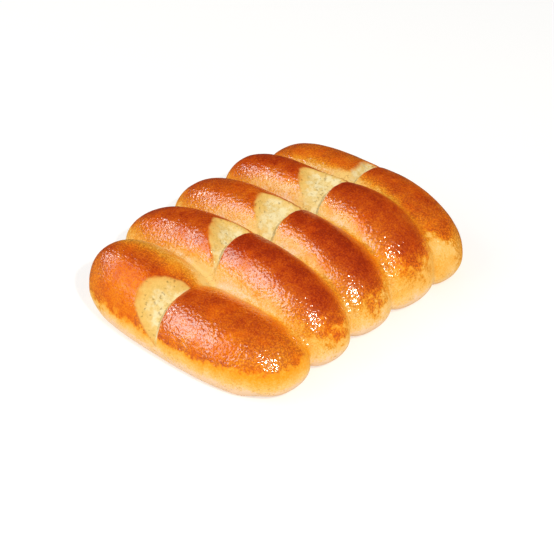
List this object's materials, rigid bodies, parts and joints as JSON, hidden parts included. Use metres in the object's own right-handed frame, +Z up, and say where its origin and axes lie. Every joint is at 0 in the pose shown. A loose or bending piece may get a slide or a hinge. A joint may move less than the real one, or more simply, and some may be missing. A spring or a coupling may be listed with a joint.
{
  "type": "ticino bread loaf",
  "caption": "Soft white bread: a row of glazed batons baked side by side into a loaf, parted by a slanting cut that leaves a pale crumb face and a raised lip on each baton.",
  "frame": {"origin": "centre of the bounding box at the flat base the loaf rests on", "axes": "+Z up, +Y along the row of batons, +X along each baton towards the halves that carry the raised lip"},
  "size_m": [0.1826, 0.2212, 0.0567],
  "materials": {
    "crust": "egg-washed baked crust, orange-brown and glossy on the crowns, yellow to cream in the valleys and at the foot, with a matt pale yellow crumb in the cuts"
  },
  "bodies": {
    "root": {"loaf": "crust"}
  },
  "joints": []
}
